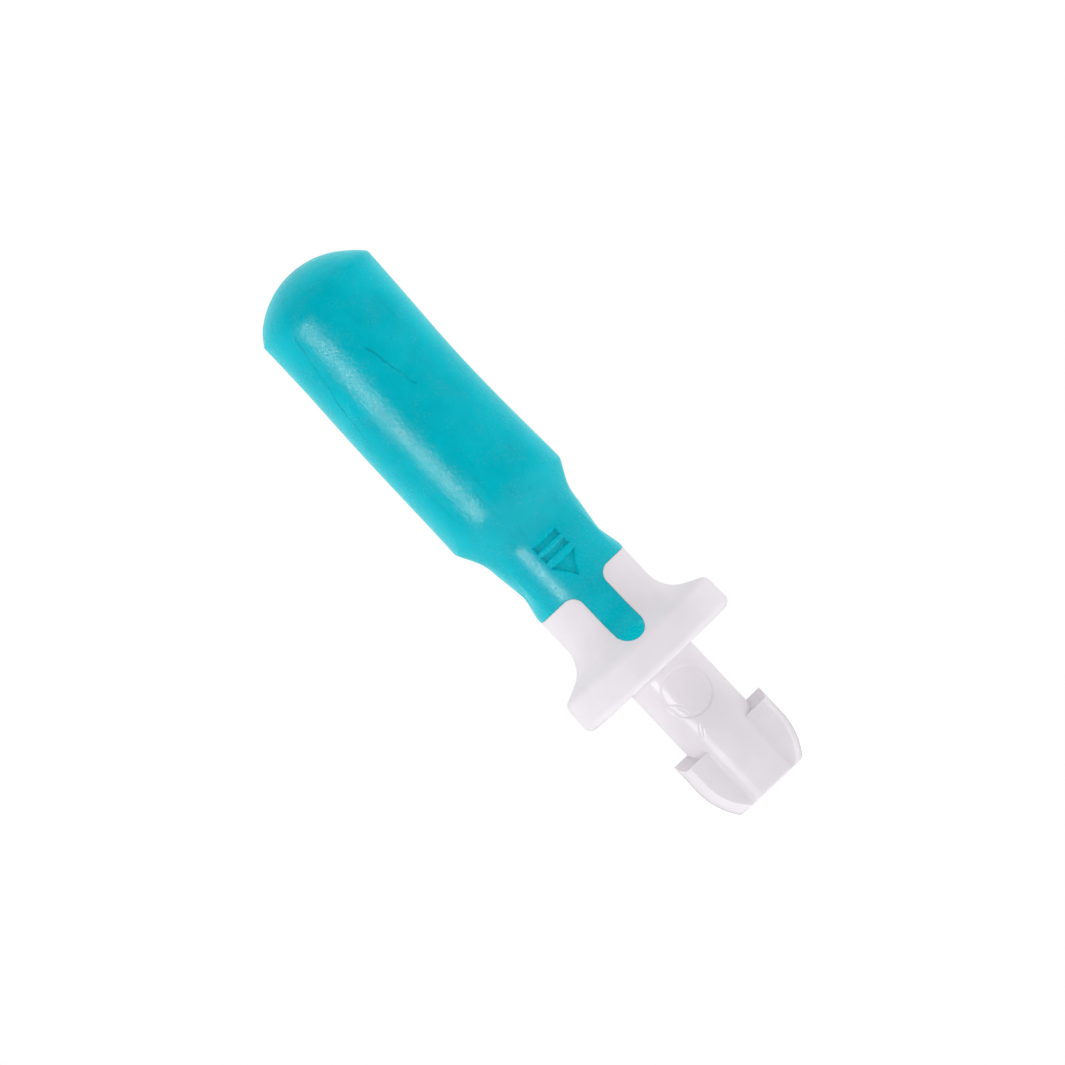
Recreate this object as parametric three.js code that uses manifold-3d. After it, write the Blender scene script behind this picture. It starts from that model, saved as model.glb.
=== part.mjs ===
// Interchangeable soft tip for an oral massage and exercise handle.
// Two moulded pieces: a rigid plug core and a soft tip moulded over it.
//
// Frame, in millimetres: +Z runs along the axis towards the soft tip, and z = 0 is the
// flange's seat face, which stops against the handle. The bayonet lugs lie along X.
// The front, with the debossed mark, faces -Y.
import * as THREE from "three";
import { mergeVertices, toCreasedNormals } from "three/addons/utils/BufferGeometryUtils.js";
import Module from "manifold-3d";

// Soft tip, from its end down
const TIP_TOP_Z = 51.6; // apex of the dome, above the seat face
const DOME_RADIUS = 8.36;
const DOME_EDGE_RADIUS = 0.4;
const BULB_TOP_RADIUS = 6.77;
const BULB_WAIST_RADIUS = 6.63;
const BULB_WAIST_Z = 35.5;
const BULB_BASE_RADIUS = 6.83;
const BULB_BASE_Z = 23.0;
const SHOULDER_ANGLE = THREE.MathUtils.degToRad(28); // slope of the shoulder off the axis
const SHOULDER_TOP_RADIUS = 1.1; // convex round under the bulb
const SHOULDER_FOOT_RADIUS = 5.4; // hollow round into the neck
const NECK_RADIUS = 5.32;
const NECK_TOP_Z = 16.97;
const JUNCTION_Z = 10.84; // where the soft neck meets the rigid collar

// Side dimples and the debossed mark on the neck
const DIMPLE_Z = 14.3;
const DIMPLE_LENGTH = 3.2;
const DIMPLE_DEPTH = 0.42;
const MARK_DEPTH = 0.35;
const MARK_WIDTH = 3.0;
const POINTER_TIP_Z = 11.9;
const POINTER_BASE_Z = 14.0;
const BAR_FEET_Z = [14.7, 15.9];
const BAR_HEIGHT = 0.7;

// Soft tongues that run down the collar, front and rear
const TONGUE_WIDTH = 3.05;
const TONGUE_END_Z = 3.65;
const TONGUE_FLOOR_Y = 3.95; // distance of the tongue's inner face from the axis
const LOBE_CORNER_RADIUS = 1.25; // corners of the collar's lobes beside each tongue
const BOND_GAP = 0.05; // clearance kept between the two solids

// Rigid core: collar, flange, stem and the mandrel inside the soft tip
const COLLAR_RADIUS = 5.28;
const TRUMPET_RADIUS = 3.4; // hollow round from the collar to the flange
const FLANGE_BACK_SLOPE = THREE.MathUtils.degToRad(24.8);
const FLANGE_BACK_Z = 3.71; // height of the sloping back face at the radius below
const FLANGE_BACK_AT = 8.55;
const FLANGE_RADIUS = 9.22;
const FLANGE_BACK_RADIUS = 9.14; // the rim drafts in a little towards the back
const FLANGE_EDGE_RADIUS = 0.85;
const STEM_RADIUS = 3.85;
const STEM_ROOT_RADIUS = 0.12;
const PLUG_END_Z = -15.41;
const PLUG_END_CHAMFER = 0.15;
const MANDREL_RADIUS = 3.4;
const MANDREL_TOP_Z = 42;

// Bayonet lugs
const LUG_RADIUS = 5.55;
const LUG_HALF_THICKNESS = 2.9;
const LUG_RIDGE_Z = -7.75; // top of the catch face, on the middle plane
const LUG_EAVE_Z = -8.8; // the catch face falls to here at the front and the rear
const LUG_TAPER_Z = -10.6;
const LUG_TAPER_RADIUS = 7.8;
const LUG_END_RADIUS = 0.6;

const ROUND_SEGMENTS = 48;
const ARC_STEPS = 2;
const FULL_REACH = 12; // longer than any radius, for cutting prisms
const CREASE_ANGLE = 0.6;
const WELD_DISTANCE = 1e-4;

const wasm = await Module();
wasm.setup();

// A closed geometry as a solid, with shared vertices merged and no flat triangles.
function solidOf(geometry) {
  const bare = geometry.clone();
  bare.deleteAttribute("normal");
  bare.deleteAttribute("uv");
  const merged = mergeVertices(bare, WELD_DISTANCE);
  const corners = [];
  for (let i = 0; i < merged.index.count; i += 3) {
    const [a, b, c] = merged.index.array.slice(i, i + 3);
    if (a !== b && b !== c && c !== a) corners.push(a, b, c);
  }
  const mesh = new wasm.Mesh({
    numProp: 3,
    vertProperties: new Float32Array(merged.attributes.position.array),
    triVerts: new Uint32Array(corners),
  });
  return new wasm.Manifold(mesh);
}

function geometryOf(solid) {
  const { vertProperties, triVerts } = solid.getMesh();
  const geometry = new THREE.BufferGeometry();
  geometry.setAttribute("position", new THREE.BufferAttribute(vertProperties, 3));
  geometry.setIndex(new THREE.BufferAttribute(triVerts, 1));
  return toCreasedNormals(geometry, CREASE_ANGLE);
}

// A solid of revolution about Z. The path gives (radius, z) from the bottom of the axis up.
function turned(path) {
  const points = path.getPoints(ARC_STEPS);
  const distinct = points.filter((p, i) => i === 0 || p.distanceTo(points[i - 1]) > WELD_DISTANCE);
  const lathe = new THREE.LatheGeometry(distinct, ROUND_SEGMENTS);
  return solidOf(lathe.rotateX(Math.PI / 2));
}

// A shape drawn in (x, z), extruded from the distance `near` to `far` in front of the axis.
function frontPrism(shape, near, far) {
  const prism = new THREE.ExtrudeGeometry(shape, {
    depth: far - near,
    bevelEnabled: false,
    curveSegments: 2 * ARC_STEPS,
  });
  return prism.rotateX(Math.PI / 2).translate(0, -near, 0);
}

// The same prism in front of the axis and, turned half round, behind it.
function frontAndRear(shape, near, far) {
  const front = frontPrism(shape, near, far);
  const rear = front.clone().rotateZ(Math.PI);
  return solidOf(front).add(solidOf(rear));
}

// Adds the flange's rim, sloping back, trumpet and collar to a path that stands at the
// seat face, and leaves the path at the top of the collar.
function traceCollar(path, topZ) {
  const frontEdge = FLANGE_RADIUS - FLANGE_EDGE_RADIUS;
  const backEdge = FLANGE_BACK_RADIUS - FLANGE_EDGE_RADIUS;
  const backFaceZ = FLANGE_BACK_Z + (FLANGE_BACK_AT - backEdge) * Math.tan(FLANGE_BACK_SLOPE);
  const backEdgeZ = backFaceZ - FLANGE_EDGE_RADIUS / Math.cos(FLANGE_BACK_SLOPE);
  const trumpetR = COLLAR_RADIUS + TRUMPET_RADIUS;
  const slopeZ = FLANGE_BACK_Z + (FLANGE_BACK_AT - trumpetR) * Math.tan(FLANGE_BACK_SLOPE);
  const trumpetZ = slopeZ + TRUMPET_RADIUS / Math.cos(FLANGE_BACK_SLOPE);
  const slopeNormal = Math.PI / 2 - FLANGE_BACK_SLOPE;
  path.lineTo(frontEdge, 0);
  path.absarc(frontEdge, FLANGE_EDGE_RADIUS, FLANGE_EDGE_RADIUS, -Math.PI / 2, 0, false);
  path.absarc(backEdge, backEdgeZ, FLANGE_EDGE_RADIUS, 0, slopeNormal, false);
  path.absarc(trumpetR, trumpetZ, TRUMPET_RADIUS, Math.PI + slopeNormal, Math.PI, true);
  path.lineTo(COLLAR_RADIUS, topZ);
}

// Outline of a tongue in (x, z), grown by `grow` all round for the channel that holds it.
function tongueShape(grow) {
  const half = TONGUE_WIDTH / 2;
  const cornerRadius = LOBE_CORNER_RADIUS + BOND_GAP - grow;
  const cornerX = half + LOBE_CORNER_RADIUS + BOND_GAP;
  const cornerZ = JUNCTION_Z - LOBE_CORNER_RADIUS - BOND_GAP;
  const endZ = TONGUE_END_Z + half;
  const rootZ = JUNCTION_Z + 0.5;
  const shape = new THREE.Shape();
  shape.moveTo(cornerX, rootZ);
  shape.lineTo(-cornerX, rootZ);
  shape.absarc(-cornerX, cornerZ, cornerRadius, Math.PI / 2, 0, true);
  shape.absarc(0, endZ, half + grow, Math.PI, 2 * Math.PI, false);
  shape.absarc(cornerX, cornerZ, cornerRadius, Math.PI, Math.PI / 2, true);
  shape.closePath();
  return shape;
}

// The bulb, shoulder and neck as one revolved sleeve, open where it meets the collar.
function tipSleeve() {
  const boreRadius = MANDREL_RADIUS + BOND_GAP;
  const domeZ = TIP_TOP_Z - DOME_RADIUS;
  const edgeR = BULB_TOP_RADIUS - DOME_EDGE_RADIUS;
  const edgeZ = domeZ + Math.sqrt((DOME_RADIUS - DOME_EDGE_RADIUS) ** 2 - edgeR ** 2);
  const domeAngle = Math.atan2(edgeZ - domeZ, edgeR);
  const turn = 1 - Math.cos(SHOULDER_ANGLE);
  const stepIn = BULB_BASE_RADIUS - NECK_RADIUS;
  const coneLength = (stepIn - (SHOULDER_TOP_RADIUS + SHOULDER_FOOT_RADIUS) * turn) / Math.sin(SHOULDER_ANGLE);
  const footR = NECK_RADIUS + SHOULDER_FOOT_RADIUS;
  const topR = BULB_BASE_RADIUS - SHOULDER_TOP_RADIUS;
  const roundsRise = (SHOULDER_TOP_RADIUS + SHOULDER_FOOT_RADIUS) * Math.sin(SHOULDER_ANGLE);
  const topZ = NECK_TOP_Z + roundsRise + coneLength * Math.cos(SHOULDER_ANGLE);
  const path = new THREE.Path();
  path.moveTo(0, MANDREL_TOP_Z + BOND_GAP);
  path.absarc(0, MANDREL_TOP_Z - MANDREL_RADIUS, boreRadius, Math.PI / 2, 0, true);
  path.lineTo(boreRadius, JUNCTION_Z);
  path.lineTo(NECK_RADIUS, JUNCTION_Z);
  path.absarc(footR, NECK_TOP_Z, SHOULDER_FOOT_RADIUS, Math.PI, Math.PI - SHOULDER_ANGLE, true);
  path.absarc(topR, topZ, SHOULDER_TOP_RADIUS, -SHOULDER_ANGLE, 0, false);
  path.splineThru([
    new THREE.Vector2(BULB_BASE_RADIUS, BULB_BASE_Z),
    new THREE.Vector2(BULB_WAIST_RADIUS, BULB_WAIST_Z),
    new THREE.Vector2(BULB_TOP_RADIUS, edgeZ),
  ]);
  path.absarc(edgeR, edgeZ, DOME_EDGE_RADIUS, 0, domeAngle, false);
  path.absarc(0, domeZ, DOME_RADIUS, domeAngle, Math.PI / 2, false);
  return turned(path);
}

// The space inside the collar's outer surface, which the tongues are flush with.
function collarEnvelope() {
  const path = new THREE.Path();
  path.moveTo(0, 0);
  traceCollar(path, JUNCTION_Z);
  path.lineTo(NECK_RADIUS, JUNCTION_Z);
  path.lineTo(NECK_RADIUS, NECK_TOP_Z);
  path.lineTo(0, NECK_TOP_Z);
  return turned(path);
}

// Two round dimples on the neck, one on each side.
function dimples() {
  const halfLength = DIMPLE_LENGTH / 2;
  const ballRadius = (halfLength ** 2 + DIMPLE_DEPTH ** 2) / (2 * DIMPLE_DEPTH);
  const offset = NECK_RADIUS - DIMPLE_DEPTH + ballRadius;
  const [right, left] = [1, -1].map((side) => {
    const ball = new THREE.SphereGeometry(ballRadius, 32, 16);
    return solidOf(ball.translate(side * offset, 0, DIMPLE_Z));
  });
  return right.add(left);
}

// The debossed mark: a pointer towards the plug under two short bars.
function mark() {
  const half = MARK_WIDTH / 2;
  const floor = NECK_RADIUS - MARK_DEPTH;
  const pointer = new THREE.Shape();
  pointer.moveTo(0, POINTER_TIP_Z);
  pointer.lineTo(half, POINTER_BASE_Z);
  pointer.lineTo(-half, POINTER_BASE_Z);
  pointer.closePath();
  const bars = BAR_FEET_Z.map((z) => {
    const bar = new THREE.Shape();
    bar.moveTo(-half, z);
    bar.lineTo(half, z);
    bar.lineTo(half, z + BAR_HEIGHT);
    bar.lineTo(-half, z + BAR_HEIGHT);
    bar.closePath();
    return bar;
  });
  const inner = new THREE.CylinderGeometry(floor, floor, 2 * FULL_REACH, ROUND_SEGMENTS);
  const below = solidOf(inner.rotateX(Math.PI / 2).translate(0, 0, NECK_TOP_Z));
  const cuts = [pointer, ...bars].map((shape) => solidOf(frontPrism(shape, 1, FULL_REACH)));
  return cuts.reduce((all, cut) => all.add(cut)).subtract(below);
}

function softTip() {
  const tongues = frontAndRear(tongueShape(0), TONGUE_FLOOR_Y, FULL_REACH);
  const flush = tongues.intersect(collarEnvelope());
  return tipSleeve().add(flush).subtract(dimples()).subtract(mark());
}

// Stem, flange, collar and mandrel as one revolved piece.
function coreBody() {
  const lobeTopZ = JUNCTION_Z - BOND_GAP;
  const rootR = STEM_RADIUS + STEM_ROOT_RADIUS;
  const path = new THREE.Path();
  path.moveTo(0, PLUG_END_Z);
  path.lineTo(STEM_RADIUS - PLUG_END_CHAMFER, PLUG_END_Z);
  path.lineTo(STEM_RADIUS, PLUG_END_Z + PLUG_END_CHAMFER);
  path.absarc(rootR, -STEM_ROOT_RADIUS, STEM_ROOT_RADIUS, Math.PI, Math.PI / 2, true);
  traceCollar(path, lobeTopZ);
  path.lineTo(MANDREL_RADIUS, lobeTopZ);
  path.absarc(0, MANDREL_TOP_Z - MANDREL_RADIUS, MANDREL_RADIUS, 0, Math.PI / 2, false);
  return turned(path);
}

// Both lugs as one bar through the stem: a roofed slab inside a tapering round outline.
function lugs() {
  const slab = new THREE.Shape();
  slab.moveTo(0, LUG_RIDGE_Z);
  slab.lineTo(-LUG_HALF_THICKNESS, LUG_EAVE_Z);
  slab.lineTo(-LUG_HALF_THICKNESS, PLUG_END_Z);
  slab.lineTo(LUG_HALF_THICKNESS, PLUG_END_Z);
  slab.lineTo(LUG_HALF_THICKNESS, LUG_EAVE_Z);
  slab.closePath();
  const bar = frontPrism(slab, -FULL_REACH, FULL_REACH).rotateZ(Math.PI / 2);
  const taperR = LUG_RADIUS - LUG_TAPER_RADIUS;
  const endZ = PLUG_END_Z + LUG_END_RADIUS;
  const endDrop = LUG_TAPER_Z - endZ;
  const endReach = Math.sqrt((LUG_TAPER_RADIUS - LUG_END_RADIUS) ** 2 - endDrop ** 2);
  const endR = taperR + endReach;
  const endAngle = -Math.atan2(endDrop, endReach);
  const path = new THREE.Path();
  path.moveTo(0, PLUG_END_Z);
  path.lineTo(endR, PLUG_END_Z);
  path.absarc(endR, endZ, LUG_END_RADIUS, -Math.PI / 2, endAngle, false);
  path.absarc(taperR, LUG_TAPER_Z, LUG_TAPER_RADIUS, endAngle, 0, false);
  path.lineTo(LUG_RADIUS, LUG_RIDGE_Z + 1);
  path.lineTo(0, LUG_RIDGE_Z + 1);
  return solidOf(bar).intersect(turned(path));
}

function plugCore() {
  const channels = frontAndRear(tongueShape(BOND_GAP), TONGUE_FLOOR_Y - BOND_GAP, FULL_REACH);
  return coreBody().subtract(channels).add(lugs());
}

const softTurquoise = new THREE.MeshStandardMaterial({
  color: "#12b5c6",
  roughness: 0.55,
  metalness: 0,
});
const whitePlastic = new THREE.MeshStandardMaterial({
  color: "#e6e1e8",
  roughness: 0.38,
  metalness: 0,
});

const tip = new THREE.Mesh(geometryOf(softTip()), softTurquoise);
tip.name = "soft_tip";

const core = new THREE.Mesh(geometryOf(plugCore()), whitePlastic);
core.name = "plug_core";

const probeTip = new THREE.Group();
probeTip.add(core, tip);

export default probeTip;
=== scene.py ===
"""Soft probe tip on a rigid bayonet plug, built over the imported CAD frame.

Everything is in metres in the frame's own axes: +Z runs along the part towards the soft tip,
z = 0 is the flange's seat face, the bayonet lugs lie along X and the front faces -Y.
"""

import math

import bpy
import numpy as np
from mathutils import Matrix, Vector


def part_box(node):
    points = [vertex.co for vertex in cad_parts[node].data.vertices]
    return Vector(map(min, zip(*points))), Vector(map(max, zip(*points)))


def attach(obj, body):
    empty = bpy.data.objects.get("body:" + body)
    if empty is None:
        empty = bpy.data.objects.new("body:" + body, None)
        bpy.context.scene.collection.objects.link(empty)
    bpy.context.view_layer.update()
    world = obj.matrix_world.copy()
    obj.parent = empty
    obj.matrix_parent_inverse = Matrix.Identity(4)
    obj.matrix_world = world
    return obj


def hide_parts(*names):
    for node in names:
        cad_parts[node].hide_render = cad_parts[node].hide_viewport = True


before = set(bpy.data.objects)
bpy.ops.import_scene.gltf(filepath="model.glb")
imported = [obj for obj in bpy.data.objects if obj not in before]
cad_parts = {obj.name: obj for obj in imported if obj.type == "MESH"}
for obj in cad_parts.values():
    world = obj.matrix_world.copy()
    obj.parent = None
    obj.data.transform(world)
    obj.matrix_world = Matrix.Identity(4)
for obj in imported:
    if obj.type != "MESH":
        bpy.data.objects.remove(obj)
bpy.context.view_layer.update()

bl_info = {
    "name": "Soft probe tip",
    "version": (1, 0, 0),
    "blender": (4, 5, 0),
    "location": "View3D > Sidebar > Probe Tip",
    "description": "Builds a soft oral probe tip with its rigid bayonet plug and a small studio",
    "category": "Add Mesh",
}

MM = 0.001
TIP_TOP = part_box("soft_tip")[1].z
CORE_LOW, CORE_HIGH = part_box("plug_core")
BODY = "root"
FULL_TURN = 2 * math.pi
SHOULDER_TURN = math.radians(28)
BACK_SLOPE = math.radians(24.8)
BORE_GAP = 0.05 * MM
CUTTER_REACH = 12 * MM


# ---------------------------------------------------------------- sizes and colours


def length(name, text, default):
    """A size in metres that a user can change."""
    return bpy.props.FloatProperty(name=name, description=text, default=default, unit="LENGTH", precision=5)


def colour(name, text, default):
    """A colour that a user can change, as linear red, green and blue."""
    return bpy.props.FloatVectorProperty(
        name=name, description=text, default=default, size=3, min=0, max=1, subtype="COLOR"
    )


class SoftTipSizes(bpy.types.PropertyGroup):
    """Sizes of the soft tip, from its end down."""

    top: length("Top", "Height of the dome's apex above the seat face", TIP_TOP - 0.2 * MM)
    dome_radius: length("Dome radius", "Radius of the round end", 8.36 * MM)
    dome_edge: length("Dome edge", "Round between the dome and the bulb's side", 0.4 * MM)
    dome_blend: length("Dome blend", "Wider round of that edge at the front and back", 4.5 * MM)
    bulb_radius: length("Bulb radius", "Radius of the bulb under the dome", 6.77 * MM)
    waist_radius: length("Waist radius", "Radius of the bulb at its slimmest", 6.63 * MM)
    waist_height: length("Waist height", "Height of the bulb's slimmest ring", 35.5 * MM)
    base_radius: length("Base radius", "Radius of the bulb above the shoulder", 6.83 * MM)
    shoulder_round: length("Shoulder round", "Round at the top of the shoulder", 1.1 * MM)
    shoulder_hollow: length("Shoulder hollow", "Hollow round from the shoulder into the neck", 5.4 * MM)
    shoulder_blend: length("Shoulder blend", "Wider round of the shoulder's top at the front and back", 8.0 * MM)
    neck_radius: length("Neck radius", "Radius of the neck", 5.32 * MM)
    neck_top: length("Neck top", "Height where the neck's straight part ends", 16.97 * MM)
    junction: length("Junction", "Height where the neck meets the collar", 10.84 * MM)
    dimple_height: length("Dimple height", "Height of the two side dimples' deepest line", 13.7 * MM)
    dimple_above: length("Dimple above", "Length of a dimple above that line", 3.3 * MM)
    dimple_below: length("Dimple below", "Length of a dimple below that line", 2.2 * MM)
    dimple_width: length("Dimple width", "Width of a dimple around the neck", 6.0 * MM)
    dimple_depth: length("Dimple depth", "Depth of a side dimple", 0.5 * MM)
    mark_depth: length("Mark depth", "Depth of the debossed mark", 0.35 * MM)
    mark_wall: length("Mark wall", "Width of the mark's sloping walls", 0.14 * MM)


class PlugSizes(bpy.types.PropertyGroup):
    """Sizes of the rigid core, from the collar down."""

    collar_radius: length("Collar radius", "Radius of the collar", 5.28 * MM)
    trumpet: length("Trumpet", "Hollow round from the collar to the flange", 3.4 * MM)
    back_height: length("Back height", "Height of the sloping back face near the rim", 3.71 * MM)
    back_radius: length("Back radius", "Radius at which that height holds", 8.55 * MM)
    flange_radius: length("Flange radius", "Radius of the flange at its front", 9.22 * MM)
    flange_back: length("Flange back", "Radius of the flange at its back", 9.14 * MM)
    flange_edge: length("Flange edge", "Round of the flange's edges", 0.85 * MM)
    stem_radius: length("Stem radius", "Radius of the round stem", 3.85 * MM)
    plug_end: length("Plug end", "Height of the plug's flat end", CORE_LOW.z)
    end_chamfer: length("End chamfer", "Chamfer around the stem's end", 0.15 * MM)
    root_round: length("Root round", "Round where the stem meets the flange", 0.12 * MM)
    mandrel_radius: length("Mandrel radius", "Radius of the mandrel in the soft tip", 3.4 * MM)
    mandrel_top: length("Mandrel top", "Height of the mandrel's end", CORE_HIGH.z)
    lug_radius: length("Lug radius", "Outer radius of the lugs", 5.55 * MM)
    lug_half: length("Lug half", "Half the thickness of a lug", 2.9 * MM)
    lug_ridge: length("Lug ridge", "Height of the catch faces on the middle plane", -7.75 * MM)
    lug_eave: length("Lug eave", "Height of the catch faces at the lugs' flat sides", -8.8 * MM)
    lug_eave_reach: length("Eave reach", "Distance from the middle plane to the eave", 2.0 * MM)
    lug_taper: length("Lug taper", "Height where the lugs start to taper", -10.9 * MM)
    lug_taper_round: length("Taper round", "Radius of the lugs' taper", 7.4 * MM)
    lug_end_round: length("Lug end round", "Round at the lugs' ends", 0.45 * MM)
    lug_hollow: length("Lug hollow", "Hollow round between a lug and the stem", 0.8 * MM)
    disc_radius: length("Disc radius", "Radius of the ejector disc on the stem", 2.42 * MM)
    disc_height: length("Disc height", "Height of the ejector disc's centre", -3.3 * MM)
    disc_depth: length("Disc depth", "Depth of the ejector disc", 0.05 * MM)


class TongueSizes(bpy.types.PropertyGroup):
    """Sizes that the soft tongues and their channels share."""

    width: length("Width", "Width of a tongue", 3.05 * MM)
    end: length("End", "Height of a tongue's round end", 3.65 * MM)
    floor: length("Floor", "Distance of a tongue's inner face from the axis", 3.95 * MM)
    corner: length("Corner", "Round of the collar lobes' corners", 1.25 * MM)
    gap: length("Gap", "Clearance between the two mouldings", 0.025 * MM)


class Finishes(bpy.types.PropertyGroup):
    """Colours of the two mouldings and of the studio."""

    soft: colour("Soft", "Turquoise of the soft tip", (0.0, 0.455, 0.555))
    soft_light: colour("Soft, light", "Lighter patches of the soft tip", (0.0, 0.505, 0.61))
    soft_deep: colour("Soft, deep", "Darker flow lines of the soft tip", (0.0, 0.27, 0.36))
    white: colour("White", "White of the rigid core", (0.81, 0.77, 0.81))
    white_warm: colour("White, warm", "Warmer patches of the rigid core", (0.84, 0.80, 0.84))
    floor: colour("Floor", "Colour of the studio floor", (0.15, 0.15, 0.15))


# ---------------------------------------------------------------- outlines


def arc(centre, radius, start, end, steps):
    """Points of a round about a centre, between two angles in radians."""
    angles = (start + (end - start) * i / steps for i in range(steps + 1))
    return [(centre[0] + radius * math.cos(a), centre[1] + radius * math.sin(a)) for a in angles]


def run(start, end, step):
    """Points from start to end about a step apart, without the start itself."""
    gap = math.dist(start, end)
    count = max(1, round(gap / step))
    return [
        tuple(a + (b - a) * i / count for a, b in zip(start, end))
        for i in range(1, count + 1)
    ]


def distinct(points, least=0.004 * MM):
    """The points without those that lie on the one before them."""
    kept = [points[0]]
    for point in points[1:]:
        if math.dist(point, kept[-1]) > least:
            kept.append(point)
    return kept


def bulb_side(sizes, edge_height, step):
    """The bulb's side from under the dome to the shoulder, slimmer at its waist."""
    turn = SHOULDER_TURN
    cone_drop = sizes.base_radius - sizes.neck_radius
    rounds = sizes.shoulder_round + sizes.shoulder_hollow
    cone = (cone_drop - rounds * (1 - math.cos(turn))) / math.sin(turn)
    shoulder_top = sizes.neck_top + rounds * math.sin(turn) + cone * math.cos(turn)
    points = []
    for _, height in run((0, edge_height), (0, shoulder_top), step):
        above = (height - sizes.waist_height) / (edge_height - sizes.waist_height)
        below = (sizes.waist_height - height) / (sizes.waist_height - shoulder_top)
        swell = (sizes.bulb_radius - sizes.waist_radius) * max(0, above) ** 2
        swell += (sizes.base_radius - sizes.waist_radius) * max(0, below) ** 2
        points.append((sizes.waist_radius + swell, height))
    top_centre = (sizes.base_radius - sizes.shoulder_round, shoulder_top)
    foot_centre = (sizes.neck_radius + sizes.shoulder_hollow, sizes.neck_top)
    points += arc(top_centre, sizes.shoulder_round, 0, -turn, 8)
    foot = arc(foot_centre, sizes.shoulder_hollow, math.pi - turn, math.pi, 14)
    points += run(points[-1], foot[0], step)
    return points + foot


def collar_side(sizes, top, step):
    """The outer line from the top of the collar down the trumpet to the flange's back edge."""
    slope = BACK_SLOPE
    rise = math.tan(slope)
    centre_r = sizes.collar_radius + sizes.trumpet
    slope_height = sizes.back_height + (sizes.back_radius - centre_r) * rise
    centre = (centre_r, slope_height + sizes.trumpet / math.cos(slope))
    edge_r = sizes.flange_back - sizes.flange_edge
    face_height = sizes.back_height + (sizes.back_radius - edge_r) * rise
    edge = (edge_r, face_height - sizes.flange_edge / math.cos(slope))
    trumpet = arc(centre, sizes.trumpet, math.pi, 1.5 * math.pi - slope, 24)
    rim = arc(edge, sizes.flange_edge, math.pi / 2 - slope, 0, 12)
    start = (sizes.collar_radius, top)
    return [start] + run(start, trumpet[0], step) + trumpet + run(trumpet[-1], rim[0], 0.2 * MM) + rim


# ---------------------------------------------------------------- modelling by operators


def only(piece):
    """Selects one object alone and makes it the active one."""
    bpy.ops.object.select_all(action="DESELECT")
    piece.select_set(True)
    bpy.context.view_layer.objects.active = piece


def chain(name, points, closed=False):
    """A chain of edges through the points, drawn out of one vertex by extruding it."""
    bpy.ops.object.select_all(action="DESELECT")
    bpy.ops.mesh.primitive_plane_add(size=MM, location=points[0])
    piece = bpy.context.object
    piece.name = piece.data.name = name
    bpy.ops.object.transform_apply(location=True, rotation=True, scale=True)
    bpy.ops.object.mode_set(mode="EDIT")
    bpy.ops.mesh.select_mode(type="VERT")
    bpy.ops.mesh.select_all(action="SELECT")
    bpy.ops.mesh.merge(type="CENTER")
    for here, there in zip(points, points[1:]):
        step = tuple(b - a for a, b in zip(here, there))
        bpy.ops.mesh.extrude_region_move(TRANSFORM_OT_translate={"value": step})
    if closed:
        bpy.ops.mesh.select_all(action="SELECT")
        bpy.ops.mesh.edge_face_add()
    bpy.ops.object.mode_set(mode="OBJECT")
    return piece


def turned(name, profile, segments):
    """A solid of revolution about Z, from a profile of (radius, height) that ends on the axis."""
    points = [(radius, 0, height) for radius, height in distinct(profile)]
    piece = chain(name, points)
    turn = piece.modifiers.new("Turn", "SCREW")
    turn.axis = "Z"
    turn.angle = FULL_TURN
    turn.steps = turn.render_steps = segments
    turn.use_merge_vertices = True
    turn.merge_threshold = 0.001 * MM
    bpy.ops.object.modifier_apply(modifier=turn.name)
    bpy.ops.object.mode_set(mode="EDIT")
    bpy.ops.mesh.select_all(action="SELECT")
    bpy.ops.mesh.remove_doubles(threshold=0.001 * MM)
    bpy.ops.mesh.normals_make_consistent(inside=False)
    bpy.ops.object.mode_set(mode="OBJECT")
    return piece


def prism(name, outline, start, travel):
    """A closed outline of points at `start`, filled and extruded by the vector `travel`."""
    points = [tuple(Vector(point) + Vector(start)) for point in outline]
    piece = chain(name, points, closed=True)
    bpy.ops.object.mode_set(mode="EDIT")
    bpy.ops.mesh.select_all(action="SELECT")
    bpy.ops.mesh.extrude_region_move(TRANSFORM_OT_translate={"value": travel})
    bpy.ops.mesh.select_all(action="SELECT")
    bpy.ops.mesh.normals_make_consistent(inside=False)
    bpy.ops.object.mode_set(mode="OBJECT")
    return piece


def combine(piece, tool, how):
    """Cuts, joins or intersects a piece with a tool, and removes the tool."""
    only(piece)
    modifier = piece.modifiers.new(how.title(), "BOOLEAN")
    modifier.operation = how
    modifier.solver = "EXACT"
    modifier.object = tool
    bpy.ops.object.modifier_apply(modifier=modifier.name)
    bpy.data.objects.remove(tool)


def carve(piece, move):
    """Moves a piece's vertices in place: `move` takes and returns their x, y and z arrays."""
    mesh = piece.data
    flat = np.empty(len(mesh.vertices) * 3)
    mesh.vertices.foreach_get("co", flat)
    x, y, z = flat.reshape(-1, 3).T
    mesh.vertices.foreach_set("co", np.stack(move(x, y, z), axis=1).ravel())
    mesh.update()


def smooth_step(value):
    """0 below 0, 1 above 1, and an even curve between."""
    value = np.clip(value, 0, 1)
    return value * value * (3 - 2 * value)


def finish_piece(piece, name, node, material):
    """Names a finished piece, shades it, gives its material and ties it to the frame."""
    only(piece)
    bpy.ops.object.shade_smooth_by_angle(angle=math.radians(32))
    piece.name = piece.data.name = name
    piece.data.materials.clear()
    piece.data.materials.append(material)
    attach(piece, BODY)
    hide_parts(node)


# ---------------------------------------------------------------- the tongue outline


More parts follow.
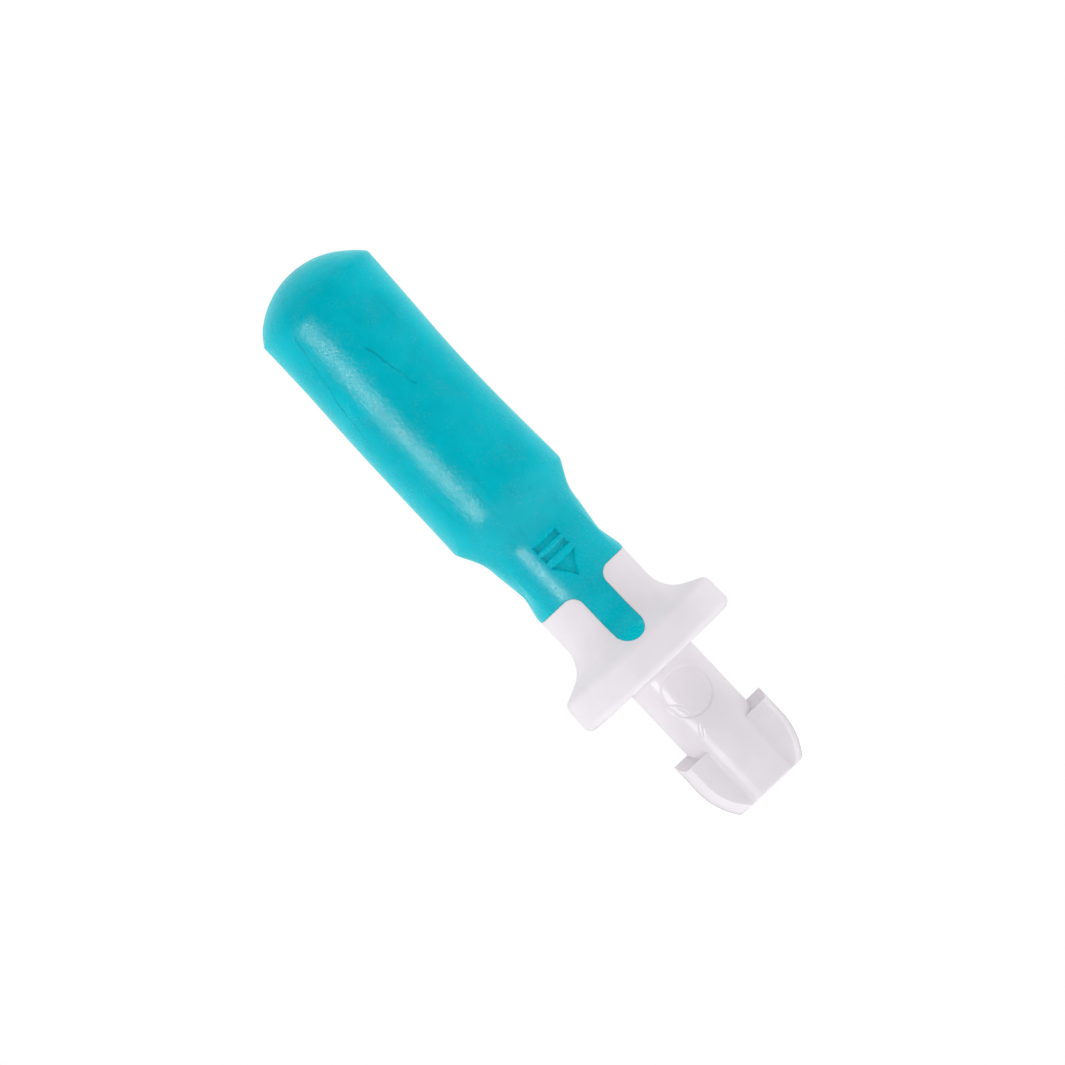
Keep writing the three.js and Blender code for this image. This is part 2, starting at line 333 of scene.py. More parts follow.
def tongue_outline(tongue, junction, grow, root):
    """Half-round tongue with flared root as (x, height) points, grown by `grow` all round."""
    half = tongue.width / 2
    corner_x = half + tongue.corner + tongue.gap
    corner_z = junction - tongue.corner - tongue.gap
    corner_round = tongue.corner + tongue.gap - grow
    left = arc((-corner_x, corner_z), corner_round, math.pi / 2, 0, 12)
    end = arc((0, tongue.end + half), half + grow, math.pi, 2 * math.pi, 24)
    right = arc((corner_x, corner_z), corner_round, math.pi, math.pi / 2, 12)
    return [(-corner_x, root)] + left + end + right + [(corner_x, root)]


def upright(outline):
    """An (x, height) outline as points in the XZ plane."""
    return [(x, 0, height) for x, height in outline]


# ---------------------------------------------------------------- the soft tip


def soft_profile(tip, plug):
    """The soft tip's section: dome, bulb, shoulder, neck, collar line and the bore."""
    fine, coarse = 0.09 * MM, 0.45 * MM
    dome = (0, tip.top - tip.dome_radius)
    edge_r = tip.bulb_radius - tip.dome_edge
    edge_rise = math.sqrt((tip.dome_radius - tip.dome_edge) ** 2 - edge_r**2)
    edge = (edge_r, dome[1] + edge_rise)
    turn = math.atan2(edge_rise, edge_r)
    points = arc(dome, tip.dome_radius, math.pi / 2, turn, 40)
    points += arc(edge, tip.dome_edge, turn, 0, 8)
    points += bulb_side(tip, edge[1], coarse)
    points += run(points[-1], (tip.neck_radius, tip.junction + 0.3 * MM), fine)
    points += collar_side(plug, tip.junction - 0.1 * MM, coarse)
    bore = plug.mandrel_radius + BORE_GAP
    bore_top = plug.mandrel_top + BORE_GAP
    points += [(bore, points[-1][1])]
    points += arc((0, bore_top - bore), bore, 0, math.pi / 2, 8)
    return points


def inside_convex(x, z, corners):
    """How far inside a convex outline each point lies, less than zero outside."""
    depth = np.full_like(x, np.inf)
    for (ax, az), (bx, bz) in zip(corners, corners[1:] + corners[:1]):
        across = ((bx - ax) * (z - az) - (bz - az) * (x - ax)) / math.dist((ax, az), (bx, bz))
        depth = np.minimum(depth, across)
    return depth


MARK_HALF = 1.5 * MM
POINTER_TIP, POINTER_BASE = 11.9 * MM, 14.0 * MM
BAR_FEET = (14.7 * MM, 15.9 * MM)
BAR_HEIGHT = 0.7 * MM


def mark_outlines():
    """The mark's generic outlines: two short bars over a pointer towards the plug."""
    outlines = [[(0, POINTER_TIP), (MARK_HALF, POINTER_BASE), (-MARK_HALF, POINTER_BASE)]]
    for foot in BAR_FEET:
        top = foot + BAR_HEIGHT
        outlines.append([(-MARK_HALF, foot), (MARK_HALF, foot), (MARK_HALF, top), (-MARK_HALF, top)])
    return outlines


def mark_drop(tip, x, y, z):
    """How far the debossed mark sinks the neck's front."""
    drop = np.zeros_like(x)
    for corners in mark_outlines():
        inside = inside_convex(x, z, corners) / tip.mark_wall
        drop = np.maximum(drop, tip.mark_depth * smooth_step(inside + 0.5))
    return np.where((y < 0) & (z > tip.junction), drop, 0)


DIMPLE_SOFTENING = 0.006
DIMPLE_BOTTOM = 1.02


def dimple_drop(tip, x, y, z):
    """How far the two side dimples sink the neck: V-shaped along it, rounded at the deepest line."""
    rise = z - tip.dimple_height
    reach = np.abs(rise) / np.where(rise > 0, tip.dimple_above, tip.dimple_below)
    softened = np.sqrt(reach**2 + DIMPLE_SOFTENING)
    depth = tip.dimple_depth * np.clip(DIMPLE_BOTTOM - softened, 0, 1)
    drop = np.zeros_like(x)
    for side in (1, -1):
        around = np.arctan2(y, side * x) * tip.neck_radius
        across = np.clip(1 - (2 * around / tip.dimple_width) ** 2, 0, 1)
        drop = np.maximum(drop, depth * across)
    return drop


NICK_AROUND, NICK_HEIGHT = -0.25 * MM, 13.9 * MM
NICK_HALF_WIDTH, NICK_HALF_HEIGHT = 0.5 * MM, 0.75 * MM
NICK_DEPTH = 0.24 * MM
NICK_EDGE = 1.25
COARSE_WAVE, COARSE_LENGTH = 0.07 * MM, 0.16 * MM
FINE_WAVE, FINE_LENGTH = 0.04 * MM, 0.067 * MM


def nick_drop(tip, x, y, z):
    """How far the small ragged nick sinks the deepest part of the dimple at -X."""
    around = np.arctan2(y, -x) * tip.neck_radius
    ragged = COARSE_WAVE * np.sin(z / COARSE_LENGTH) + FINE_WAVE * np.sin(z / FINE_LENGTH)
    across = (around - NICK_AROUND + ragged) / NICK_HALF_WIDTH
    along = (z - NICK_HEIGHT) / NICK_HALF_HEIGHT
    return NICK_DEPTH * smooth_step(NICK_EDGE - np.hypot(across, along))


def eased(z, edge, turn, way, blend):
    """How far a round of radius `blend` sinks the surface at an edge that turns by an angle."""
    spread = blend * math.tan(turn / 2)
    beyond = (z - edge) * way
    along = np.where(beyond > 0, beyond / math.cos(turn), -beyond)
    return blend * (1 / math.cos(turn / 2) - 1) * np.clip(1 - along / spread, 0, 1) ** 2


SHOULDER_SHIFT = 0.27 * MM
FACING_GAIN = 1.25


def edge_drop(tip, y, z, radius, dome_rim):
    """How far the wider rounds of the dome's rim and the shoulder sink the front and the back."""
    dome_fall = math.asin(tip.bulb_radius / tip.dome_radius)
    side = bulb_side(tip, dome_rim, MM)
    shoulder_top = min(height for reach, height in side if reach >= tip.base_radius - 0.01 * MM)
    shoulder_edge = shoulder_top - SHOULDER_SHIFT
    sink = eased(z, dome_rim, math.pi / 2 - dome_fall, 1, tip.dome_blend)
    sink = sink + eased(z, shoulder_edge, SHOULDER_TURN, -1, tip.shoulder_blend)
    facing = smooth_step(FACING_GAIN * np.abs(y) / np.maximum(radius, 0.1 * MM))
    return sink * facing


LEAN = 0.24 * MM
LEAN_FOOT, LEAN_RISE = 34 * MM, 16 * MM
DOME_FOOT, DOME_RISE = 48 * MM, 1.4 * MM
DOME_UPRIGHT = 0.7
SWAY = 0.12 * MM
SWAY_FOOT, SWAY_RISE = 20 * MM, 24 * MM


def bend(z):
    """The bulb's slight bend: it leans to +X near its end, less at the dome, and to -X below."""
    lean = LEAN * smooth_step((z - LEAN_FOOT) / LEAN_RISE)
    lean = lean * (1 - DOME_UPRIGHT * smooth_step((z - DOME_FOOT) / DOME_RISE))
    sway = np.clip((z - SWAY_FOOT) / SWAY_RISE, 0, 1)
    return lean - SWAY * np.sin(math.pi * sway) ** 2


def shape_soft_tip(tip):
    """The moves that give the plain turned tip its mark, dimples, wider rounds and slight bend."""

    def move(x, y, z):
        radius = np.hypot(x, y)
        outer = radius > tip.neck_radius - 0.5 * MM
        dome_fall = math.asin(tip.bulb_radius / tip.dome_radius)
        dome_rim = tip.top - tip.dome_radius * (1 - math.cos(dome_fall))
        drop = np.maximum(mark_drop(tip, x, y, z), dimple_drop(tip, x, y, z))
        drop = drop + np.where(outer, nick_drop(tip, x, y, z), 0)
        drop = drop + np.where(outer | (z > dome_rim), edge_drop(tip, y, z, radius, dome_rim), 0)
        factor = np.where(z > tip.junction, 1 - drop / np.maximum(radius, MM), 1)
        return x * factor + bend(z), y * factor, z

    return move


class BuildSoftTip(bpy.types.Operator):
    """Builds the soft tip: bulb, shoulder, neck and the two tongues."""

    bl_idname = "probe_tip.soft_tip"
    bl_label = "Soft Tip"

    def execute(self, context):
        scene = context.scene
        tip, plug, tongue = scene.soft_tip_sizes, scene.plug_sizes, scene.tongue_sizes
        piece = turned("soft_tip_skin", soft_profile(tip, plug), 384)
        carve(piece, shape_soft_tip(tip))
        reach, low, top = CUTTER_REACH, MM, tip.junction
        inner = tongue_outline(tongue, top, 0, top)
        plate = [(-reach, top)] + inner[1:-1] + [(reach, top), (reach, low), (-reach, low)]
        lobes = prism("lobe_cutter", upright(plate), (0, -reach, 0), (0, 2 * reach, 0))
        combine(piece, lobes, "DIFFERENCE")
        block = [(-reach, low), (reach, low), (reach, top), (-reach, top)]
        middle = prism("middle_cutter", upright(block), (0, -tongue.floor, 0), (0, 2 * tongue.floor, 0))
        combine(piece, middle, "DIFFERENCE")
        finish_piece(piece, "soft_tip_skin", "soft_tip", soft_elastomer(scene.finishes))
        return {"FINISHED"}


# ---------------------------------------------------------------- the plug core


def core_profile(tip, plug, tongue):
    """The core's section: stem, flange, trumpet, collar and the hidden mandrel."""
    fine, coarse = 0.09 * MM, 0.6 * MM
    end, stem = plug.plug_end, plug.stem_radius
    top = tip.junction - tongue.gap
    disc_foot = plug.disc_height - plug.disc_radius - 0.2 * MM
    root = (stem + plug.root_round, -plug.root_round)
    points = [(0, end), (stem - plug.end_chamfer, end), (stem, end + plug.end_chamfer)]
    points += run(points[-1], (stem, disc_foot), coarse)
    points += run((stem, disc_foot), (stem, -0.5 * MM), fine)
    points += arc(root, plug.root_round, math.pi, math.pi / 2, 4)
    front = (plug.flange_radius - plug.flange_edge, plug.flange_edge)
    points += arc(front, plug.flange_edge, -math.pi / 2, 0, 12)
    points += reversed(collar_side(plug, top, coarse))
    points += [(plug.mandrel_radius, top)]
    points += arc((0, plug.mandrel_top - plug.mandrel_radius), plug.mandrel_radius, 0, math.pi / 2, 8)
    return points


def shape_stem(plug):
    """The moves that sink the ejector disc, with a fine groove around it, into the stem's front."""
    wall, groove_width, groove_depth = 0.1 * MM, 0.07 * MM, 0.035 * MM

    def move(x, y, z):
        radius = np.hypot(x, y)
        front = (y < 0) & (abs(radius - plug.stem_radius) < 0.01 * MM) & (z < -0.3 * MM)
        reach = np.hypot(x, z - plug.disc_height)
        step = smooth_step((plug.disc_radius - reach) / wall + 0.5)
        groove = np.exp(-(((reach - plug.disc_radius) / groove_width) ** 2))
        drop = plug.disc_depth * step + groove_depth * groove
        factor = np.where(front, 1 - drop / np.maximum(radius, MM), 1)
        return x * factor, y * factor, z

    return move


def lug_section(plug):
    """The lugs' cross-section as (x, y) points: a bar with hollow rounds against the stem."""
    half, hollow = plug.lug_half, plug.lug_hollow
    reach = plug.lug_radius + MM
    sunk = 0.02 * MM
    centre_y = half + hollow
    centre_x = math.sqrt((plug.stem_radius + hollow - sunk) ** 2 - centre_y**2)
    inward = math.atan2(-centre_y, -centre_x)
    right = arc((centre_x, centre_y), hollow, -math.pi / 2, inward, 8)
    left = [(-x, y) for x, y in reversed(right)]
    upper = [(reach, half)] + right + left + [(-reach, half)]
    return upper + [(-x, -y) for x, y in upper]


def lug_envelope(plug):
    """The round outline that the lugs stay in, with its taper and rounded end."""
    end = plug.plug_end + 0.01 * MM
    taper_r = plug.lug_radius - plug.lug_taper_round
    end_z = end + plug.lug_end_round
    drop = plug.lug_taper - end_z
    out = math.sqrt((plug.lug_taper_round - plug.lug_end_round) ** 2 - drop**2)
    angle = -math.atan2(drop, out)
    top = plug.lug_ridge + 2 * MM
    points = [(0, end)]
    points += arc((taper_r + out, end_z), plug.lug_end_round, -math.pi / 2, angle, 8)
    points += arc((taper_r, plug.lug_taper), plug.lug_taper_round, angle, 0, 16)
    return points + [(plug.lug_radius, top), (0, top)]


def build_lugs(plug):
    """Both lugs as one bar through the stem, with roofed catch faces."""
    outline = [(x, y, 0) for x, y in lug_section(plug)]
    foot, head = plug.plug_end - MM, plug.lug_ridge + MM
    bar = prism("lug_bar", outline, (0, 0, foot), (0, 0, head - foot))
    combine(bar, turned("lug_envelope", lug_envelope(plug), 256), "INTERSECT")
    ridge, eave, out = plug.lug_ridge, plug.lug_eave, plug.lug_eave_reach
    far, top = plug.lug_half + MM, ridge + 2 * MM
    roof = [(-far, eave), (-out, eave), (0, ridge), (out, eave), (far, eave), (far, top), (-far, top)]
    reach = plug.lug_radius + MM
    sky = prism("roof_cutter", [(0, y, z) for y, z in roof], (-reach, 0, 0), (2 * reach, 0, 0))
    combine(bar, sky, "DIFFERENCE")
    return bar


class BuildPlugCore(bpy.types.Operator):
    """Builds the rigid core: collar, flange, stem and bayonet lugs."""

    bl_idname = "probe_tip.plug_core"
    bl_label = "Plug Core"

    def execute(self, context):
        scene = context.scene
        tip, plug, tongue = scene.soft_tip_sizes, scene.plug_sizes, scene.tongue_sizes
        piece = turned("plug_core_shell", core_profile(tip, plug, tongue), 256)
        carve(piece, shape_stem(plug))
        outline = upright(tongue_outline(tongue, tip.junction, tongue.gap, tip.junction + MM))
        floor = tongue.floor - tongue.gap
        for side in (-1, 1):
            depth = side * (CUTTER_REACH - floor)
            channel = prism("channel_cutter", outline, (0, side * floor, 0), (0, depth, 0))
            combine(piece, channel, "DIFFERENCE")
        combine(piece, build_lugs(plug), "UNION")
        finish_piece(piece, "plug_core_shell", "plug_core", white_plastic(scene.finishes))
        return {"FINISHED"}


# ---------------------------------------------------------------- materials


class Nodes:
    """Short calls for laying out one material's nodes."""

    def __init__(self, name):
        self.material = bpy.data.materials.new(name)
        self.material.use_nodes = True
        self.tree = self.material.node_tree
        self.shader = self.tree.nodes["Principled BSDF"]
        self.place = self.add("ShaderNodeTexCoord").outputs["Object"]

    def add(self, kind, links=(), **values):
        """A node with its settings and constant inputs set, and its inputs linked."""
        node = self.tree.nodes.new(kind)
        for key, value in values.items():
            if hasattr(node, key):
                setattr(node, key, value)
            else:
                node.inputs[key.replace("_", " ")].default_value = value
        for socket, output in dict(links).items():
            self.tree.links.new(output, node.inputs[socket])
        return node

    def noise(self, size, detail=2.0, rough=0.5, stretch=(1, 1, 1)):
        """Noise whose features are about `size` metres across, stretched along the axes."""
        scaled = self.add("ShaderNodeMapping", {"Vector": self.place}, Scale=stretch)
        node = self.add("ShaderNodeTexNoise", {"Vector": scaled.outputs[0]}, Scale=1 / size)
        node.inputs["Detail"].default_value = detail
        node.inputs["Roughness"].default_value = rough
        return node.outputs["Fac"]

    def ramp(self, value, low, high, start, end):
        """A value mapped from low..high to start..end, held at the ends."""
        node = self.add("ShaderNodeMapRange", {"Value": value})
        for key, number in (("From Min", low), ("From Max", high), ("To Min", start), ("To Max", end)):
            node.inputs[key].default_value = number
        return node.outputs["Result"]

    def blend(self, factor, first, second):
        """A mix of two colours."""
        node = self.add("ShaderNodeMix", data_type="RGBA")
        self.tree.links.new(factor, node.inputs["Factor"])
        node.inputs["A"].default_value = (*first, 1)
        node.inputs["B"].default_value = (*second, 1)
        return node.outputs["Result"]

    def maths(self, operation, first, second):
        """One operation on two values, each an output or a plain number."""
        node = self.add("ShaderNodeMath", operation=operation)
        for socket, value in zip(node.inputs, (first, second)):
            if isinstance(value, (int, float)):
                socket.default_value = value
            else:
                self.tree.links.new(value, socket)
        return node.outputs[0]

    def wrapped(self, radius):
        """A flat map of the round surface: the way round from the front in metres, and the height."""
        split = self.add("ShaderNodeSeparateXYZ", {"Vector": self.place}).outputs
        forward = self.maths("MULTIPLY", split["Y"], -1)
        turn = self.maths("ARCTAN2", split["X"], forward)
        around = self.maths("MULTIPLY", turn, radius)
        return self.add("ShaderNodeCombineXYZ", {"X": around, "Y": split["Z"]}).outputs[0]

    def stroke(self, surface, start, end, width):
        """1 on a thin line from start to end on the flat map, fading to 0 at `width` beside it."""
        way = Vector((end[0] - start[0], end[1] - start[1], 0))
        offset = self.add("ShaderNodeVectorMath", {0: surface}, operation="SUBTRACT")
        offset.inputs[1].default_value = (start[0], start[1], 0)
        share = self.add("ShaderNodeVectorMath", {0: offset.outputs[0]}, operation="DOT_PRODUCT")
        share.inputs[1].default_value = way / way.length_squared
        held = self.ramp(share.outputs["Value"], 0, 1, 0, 1)
        foot = self.add("ShaderNodeVectorMath", {"Scale": held}, operation="SCALE")
        foot.inputs[0].default_value = way
        links = {0: offset.outputs[0], 1: foot.outputs[0]}
        gap = self.add("ShaderNodeVectorMath", links, operation="SUBTRACT")
        far = self.add("ShaderNodeVectorMath", {0: gap.outputs[0]}, operation="LENGTH")
        return self.ramp(far.outputs["Value"], 0, width, 1, 0)

    def most(self, values):
        """The greatest of several values."""
        result = values[0]
        for value in values[1:]:
            result = self.maths("MAXIMUM", result, value)
        return result

    def bump(self, height, distance, below=None):
        """A bump of the height, in metres, laid over another bump."""
        node = self.add("ShaderNodeBump", {"Height": height}, Distance=distance)
        if below is not None:
            self.tree.links.new(below, node.inputs["Normal"])
        return node.outputs["Normal"]


BULB_MAP_RADIUS = 6.7 * MM
STEM_MAP_RADIUS = 3.85 * MM
FLOW_WIDTH = 0.14 * MM
NICK_WIDTH = 0.16 * MM
# Each line runs between two places of (way round from the front, height).
FLOW_LINES = [
    ((-4.6 * MM, 46.6 * MM), (-5.8 * MM, 40.8 * MM)),
    ((-5.8 * MM, 40.8 * MM), (-7.2 * MM, 34.0 * MM)),
    ((-0.1 * MM, 41.2 * MM), (0.5 * MM, 38.3 * MM)),
    ((0.5 * MM, 38.3 * MM), (1.1 * MM, 35.6 * MM)),
    ((4.3 * MM, 44.2 * MM), (4.5 * MM, 41.4 * MM)),
]
STEM_NICKS = [
    ((-1.35 * MM, -6.35 * MM), (-2.1 * MM, -7.3 * MM)),
    ((-1.35 * MM, -7.0 * MM), (-1.8 * MM, -7.55 * MM)),
    ((-2.2 * MM, -3.2 * MM), (-1.3 * MM, -3.9 * MM)),
    ((-1.75 * MM, -3.9 * MM), (-1.35 * MM, -4.8 * MM)),
]


def flow_marks(nodes, surface):
    """0 to 1 where the elastomer's wandering flow lines and faint streaks run."""
    sway = nodes.ramp(nodes.noise(2.0 * MM, 3), 0.2, 0.8, -0.3 * MM, 0.3 * MM)
    aside = nodes.add("ShaderNodeCombineXYZ", {"X": sway}).outputs[0]
    shift = nodes.add("ShaderNodeVectorMath", {0: surface, 2: aside}, operation="MULTIPLY_ADD")
    shift.inputs[1].default_value = (1, 1, 0)
    lines = nodes.most([nodes.stroke(shift.outputs[0], *line, FLOW_WIDTH) for line in FLOW_LINES])
    worn = nodes.ramp(nodes.noise(1.5 * MM, 2), 0.35, 0.6, 0.25, 1)
    streaks = nodes.ramp(nodes.noise(1.1 * MM, 3, 0.6, (1, 1, 0.16)), 0.58, 0.72, 0, 0.3)
    return nodes.most([nodes.maths("MULTIPLY", lines, worn), streaks])


def soft_elastomer(finishes):
    """Satin turquoise elastomer: fine moulded grain, faint flow lines and soft light inside."""
    nodes = Nodes("soft_turquoise")
    shader = nodes.shader
    surface = nodes.wrapped(BULB_MAP_RADIUS)
    height = nodes.add("ShaderNodeSeparateXYZ", {"Vector": surface}).outputs["Y"]
    patches = nodes.ramp(nodes.noise(4 * MM, 3), 0.35, 0.65, 0, 1)
    tone = nodes.blend(patches, finishes.soft, finishes.soft_light)
    marks = flow_marks(nodes, surface)
    ink = nodes.maths("MULTIPLY", marks, 0.95)
    inked = nodes.add("ShaderNodeMix", {"Factor": ink, "A": tone}, data_type="RGBA")
    inked.inputs["B"].default_value = (*finishes.soft_deep, 1)
    nodes.tree.links.new(inked.outputs["Result"], shader.inputs["Base Color"])
    speckle = nodes.ramp(nodes.noise(0.3 * MM, 3, 0.7), 0.4, 0.6, 0.08, 0.24)
    dull_neck = nodes.ramp(height, 15 * MM, 18 * MM, 0.1, 0)
    dull_patches = nodes.ramp(nodes.noise(2.2 * MM, 3), 0.45, 0.62, 0, 0.09)
    gloss = nodes.maths("ADD", speckle, nodes.most([dull_neck, dull_patches]))
    nodes.tree.links.new(gloss, shader.inputs["Roughness"])
    bulb_only = nodes.ramp(height, 15 * MM, 19 * MM, 0.35, 1)
    grain = nodes.maths("MULTIPLY", nodes.noise(0.36 * MM, 3, 0.75), bulb_only)
    ripple = nodes.bump(nodes.noise(2.6 * MM, 2, 0.5, (1, 1, 0.4)), 0.05 * MM)
    creased = nodes.bump(nodes.ramp(marks, 0, 1, 1, 0), 0.012 * MM, ripple)
    grained = nodes.bump(grain, 0.046 * MM, creased)
    nodes.tree.links.new(grained, shader.inputs["Normal"])
    shader.inputs["IOR"].default_value = 1.4
    shader.inputs["Subsurface Weight"].default_value = 0.25
    shader.inputs["Subsurface Radius"].default_value = (0.1, 1.0, 1.2)
    shader.inputs["Subsurface Scale"].default_value = 0.9 * MM
    shader.inputs["Sheen Weight"].default_value = 0.6
    shader.inputs["Sheen Roughness"].default_value = 0.5
    shader.inputs["Sheen Tint"].default_value = (0.0, 0.93, 0.97, 1)
    return nodes.material


def white_plastic(finishes):
    """White plastic, faintly lavender: glossy on the plug, satin on the flange and collar."""
    nodes = Nodes("white_plastic")
    shader = nodes.shader
    patches = nodes.ramp(nodes.noise(3 * MM, 2), 0.35, 0.65, 0, 1)
    tone = nodes.blend(patches, finishes.white, finishes.white_warm)
    nodes.tree.links.new(tone, shader.inputs["Base Color"])
    haze = nodes.ramp(nodes.noise(0.5 * MM, 3, 0.6), 0.3, 0.7, 0, 0.06)
    surface = nodes.wrapped(STEM_MAP_RADIUS)
    height = nodes.add("ShaderNodeSeparateXYZ", {"Vector": surface}).outputs["Y"]
    satin = nodes.ramp(height, -0.2 * MM, 0.2 * MM, 0.13, 0.42)
    nodes.tree.links.new(nodes.maths("ADD", haze, satin), shader.inputs["Roughness"])
    nicks = nodes.most([nodes.stroke(surface, *line, NICK_WIDTH) for line in STEM_NICKS])
    ripple = nodes.bump(nodes.noise(2.4 * MM, 0), 0.02 * MM)
    nicked = nodes.bump(nodes.ramp(nicks, 0, 1, 1, 0), 0.02 * MM, ripple)
    nodes.tree.links.new(nicked, shader.inputs["Normal"])
    shader.inputs["IOR"].default_value = 1.33
    shader.inputs["Subsurface Weight"].default_value = 0.15
    shader.inputs["Subsurface Radius"].default_value = (1.0, 0.95, 1.0)
    shader.inputs["Subsurface Scale"].default_value = 0.8 * MM
    return nodes.material


# ---------------------------------------------------------------- the studio


FRAME_WIDTH = 101.2 * MM
VIEW_TURN = math.radians(4.7)
VIEW_ROLL = math.radians(43.34)
VIEW_HEIGHT = 17.73 * MM
VIEW_DISTANCE = 1.2
SENSOR = 36.0
PANEL_DISTANCE = 0.6
FLOOR_RADIUS = 0.3
FLOOR_GAP = 0.2 * MM


def aim(thing, position, target):
    """Puts a light at a position, facing the target, with its long side along Z."""
    facing = (Vector(position) - Vector(target)).normalized()
    side = Vector((0, 0, 1)).cross(facing).normalized()
    up = facing.cross(side)
    thing.matrix_world = Matrix.Translation(position) @ Matrix((side, up, facing)).transposed().to_4x4()


def add_camera():
    """A long lens at right angles to the part's axis, rolled so that the part lies aslant."""
    back = Vector((-math.sin(VIEW_TURN), -math.cos(VIEW_TURN), 0))
    along = Vector((math.cos(VIEW_TURN), -math.sin(VIEW_TURN), 0))
    axis = Vector((0, 0, 1))
    right = along * math.cos(VIEW_ROLL) - axis * math.sin(VIEW_ROLL)
    up = along * math.sin(VIEW_ROLL) + axis * math.cos(VIEW_ROLL)
    bpy.ops.object.camera_add()
    camera = bpy.context.object
    camera.name = "studio_camera"
    camera.data.sensor_width = SENSOR
    camera.data.lens = SENSOR * VIEW_DISTANCE / FRAME_WIDTH
    camera.data.clip_start = 0.01
    position = Vector((0, 0, VIEW_HEIGHT)) + back * VIEW_DISTANCE
    camera.matrix_world = Matrix.Translation(position) @ Matrix((right, up, back)).transposed().to_4x4()
    bpy.context.scene.camera = camera


def add_panel(name, azimuth, elevation, width, height, power, gloss=False):
    """A soft box facing the part, at angles in degrees from the front and the level.

    A gloss panel shows only as a highlight, and the others only light the part softly.
    """
    turn, rise = math.radians(azimuth), math.radians(elevation)
    level = math.cos(rise) * PANEL_DISTANCE
    above = math.sin(rise) * PANEL_DISTANCE
    position = (math.sin(turn) * level, -math.cos(turn) * level, VIEW_HEIGHT + above)
    bpy.ops.object.light_add(type="AREA")
    light = bpy.context.object
    light.name = name
    light.data.shape = "RECTANGLE"
    light.data.size = width
    light.data.size_y = height
    light.data.energy = power
    light.visible_glossy = gloss
    light.visible_diffuse = not gloss
    aim(light, position, (0, 0, VIEW_HEIGHT))


def add_world():
    """A white surround, dimmer in front of the part and in its gloss, and white to the camera."""
    world = bpy.data.worlds.new("studio_surround")
    bpy.context.scene.world = world
    world.use_nodes = True
    world.cycles.sampling_method = "NONE"
    tree = world.node_tree
    tree.nodes.clear()
    place = tree.nodes.new("ShaderNodeTexCoord")
    split = tree.nodes.new("ShaderNodeSeparateXYZ")
    tree.links.new(place.outputs["Generated"], split.inputs[0])
    path = tree.nodes.new("ShaderNodeLightPath")

    def plain():
        """A white background of strength 1."""
        light = tree.nodes.new("ShaderNodeBackground")
        light.inputs["Color"].default_value = (1, 1, 1, 1)
        return light

    def shaded(low, high, end, curve):
        """A white background that rises from 0 to `end` as the direction's Y goes from low to high."""
        shade = tree.nodes.new("ShaderNodeMapRange")
        shade.interpolation_type = curve
        for key, number in (("From Min", low), ("From Max", high), ("To Max", end)):
            shade.inputs[key].default_value = number
        tree.links.new(split.outputs["Y"], shade.inputs["Value"])
        light = plain()
        tree.links.new(shade.outputs["Result"], light.inputs["Strength"])
        return light.outputs[0]

    def chosen(ray, otherwise, then):
        """The second shader for rays of one kind, and the first for all others."""
        mix = tree.nodes.new("ShaderNodeMixShader")
        tree.links.new(path.outputs[ray], mix.inputs["Fac"])
        tree.links.new(otherwise, mix.inputs[1])
        tree.links.new(then, mix.inputs[2])
        return mix.outputs[0]

    soft = shaded(-1.0, -0.3, 1.0, "SMOOTHSTEP")
    gloss = shaded(-0.02, 1.0, 0.76, "LINEAR")
    out = tree.nodes.new("ShaderNodeOutputWorld")
    surround = chosen("Is Camera Ray", chosen("Is Glossy Ray", soft, gloss), plain().outputs[0])
    tree.links.new(surround, out.inputs["Surface"])


def add_floor(finishes, height):
    """A round pale floor that glows softly, and only dimly in the part's gloss."""
    bpy.ops.object.select_all(action="DESELECT")
    place = (0, 0, height)
    bpy.ops.mesh.primitive_circle_add(location=place, vertices=96, radius=FLOOR_RADIUS, fill_type="NGON")
    floor = bpy.context.object
    floor.name = "studio_floor"
    bpy.ops.object.transform_apply(location=True, rotation=True, scale=True)
    nodes = Nodes("floor_paint")
    nodes.shader.inputs["Base Color"].default_value = (*finishes.floor, 1)
    nodes.shader.inputs["Roughness"].default_value = 0.9
    nodes.shader.inputs["Emission Color"].default_value = (1, 1, 1, 1)
    ray = nodes.add("ShaderNodeLightPath").outputs
    seen = nodes.ramp(ray["Is Camera Ray"], 0, 1, 1.05, 0.9)
    mirrored = nodes.ramp(ray["Is Glossy Ray"], 0, 1, 1, 0.15)
    nodes.tree.links.new(nodes.maths("MULTIPLY", seen, mirrored), nodes.shader.inputs["Emission Strength"])
    nodes.material.cycles.emission_sampling = "NONE"
    floor.data.materials.append(nodes.material)


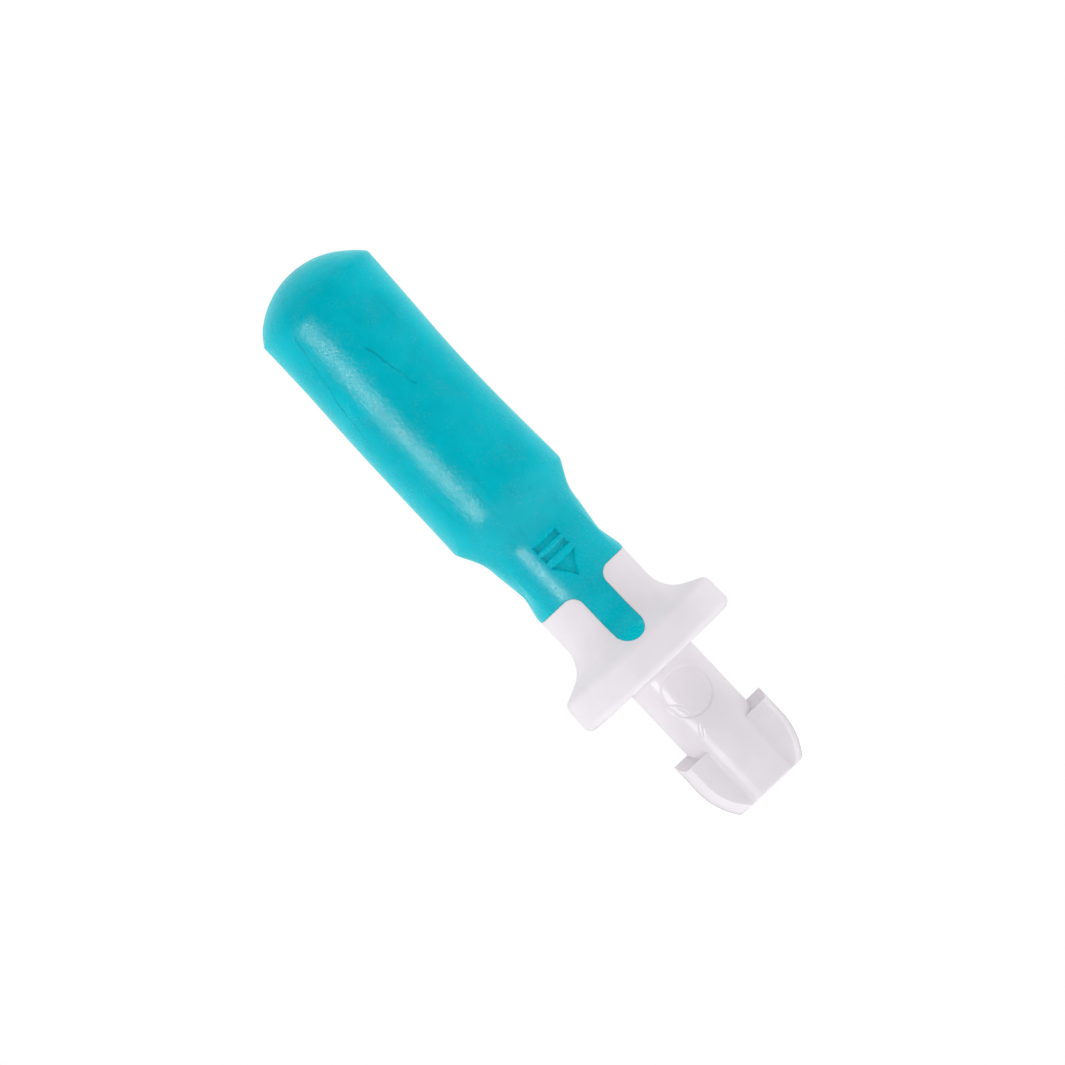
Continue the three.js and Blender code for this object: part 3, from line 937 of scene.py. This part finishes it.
class BuildStudio(bpy.types.Operator):
    """Adds the camera, the soft lights, the surround and the floor."""

    bl_idname = "probe_tip.studio"
    bl_label = "Studio"

    def execute(self, context):
        scene = context.scene
        add_camera()
        add_world()
        add_panel("key_panel", -49, 0, 0.2, 0.17, 1.15, gloss=True)
        add_panel("left_panel", -64, -10, 0.3, 0.3, 1.5)
        add_panel("right_panel", 64, -16, 0.3, 0.3, 2.3)
        add_panel("top_panel", 0, 65, 0.5, 0.3, 0.6)
        add_floor(scene.finishes, scene.plug_sizes.plug_end - FLOOR_GAP)
        scene.view_settings.view_transform = "Standard"
        return {"FINISHED"}


# ---------------------------------------------------------------- the add-on


class ProbeTipPanel(bpy.types.Panel):
    """Lists the building steps and the sizes in the sidebar."""

    bl_idname = "VIEW3D_PT_probe_tip"
    bl_label = "Probe Tip"
    bl_space_type = "VIEW_3D"
    bl_region_type = "UI"
    bl_category = "Probe Tip"

    def draw(self, context):
        scene = context.scene
        for step in (BuildPlugCore, BuildSoftTip, BuildStudio):
            self.layout.operator(step.bl_idname)
        for group in (scene.soft_tip_sizes, scene.plug_sizes, scene.tongue_sizes, scene.finishes):
            box = self.layout.box()
            for key in group.__annotations__:
                box.prop(group, key)


CLASSES = (
    SoftTipSizes,
    PlugSizes,
    TongueSizes,
    Finishes,
    BuildPlugCore,
    BuildSoftTip,
    BuildStudio,
    ProbeTipPanel,
)


def register():
    """Makes the classes and the scene's groups of sizes known to Blender."""
    for cls in CLASSES:
        bpy.utils.register_class(cls)
    bpy.types.Scene.soft_tip_sizes = bpy.props.PointerProperty(type=SoftTipSizes)
    bpy.types.Scene.plug_sizes = bpy.props.PointerProperty(type=PlugSizes)
    bpy.types.Scene.tongue_sizes = bpy.props.PointerProperty(type=TongueSizes)
    bpy.types.Scene.finishes = bpy.props.PointerProperty(type=Finishes)


def unregister():
    """Takes them away again."""
    del bpy.types.Scene.finishes
    del bpy.types.Scene.tongue_sizes
    del bpy.types.Scene.plug_sizes
    del bpy.types.Scene.soft_tip_sizes
    for cls in reversed(CLASSES):
        bpy.utils.unregister_class(cls)


def main():
    """Builds both pieces and the studio."""
    register()
    bpy.ops.probe_tip.plug_core()
    bpy.ops.probe_tip.soft_tip()
    bpy.ops.probe_tip.studio()


if __name__ == "__main__":
    main()
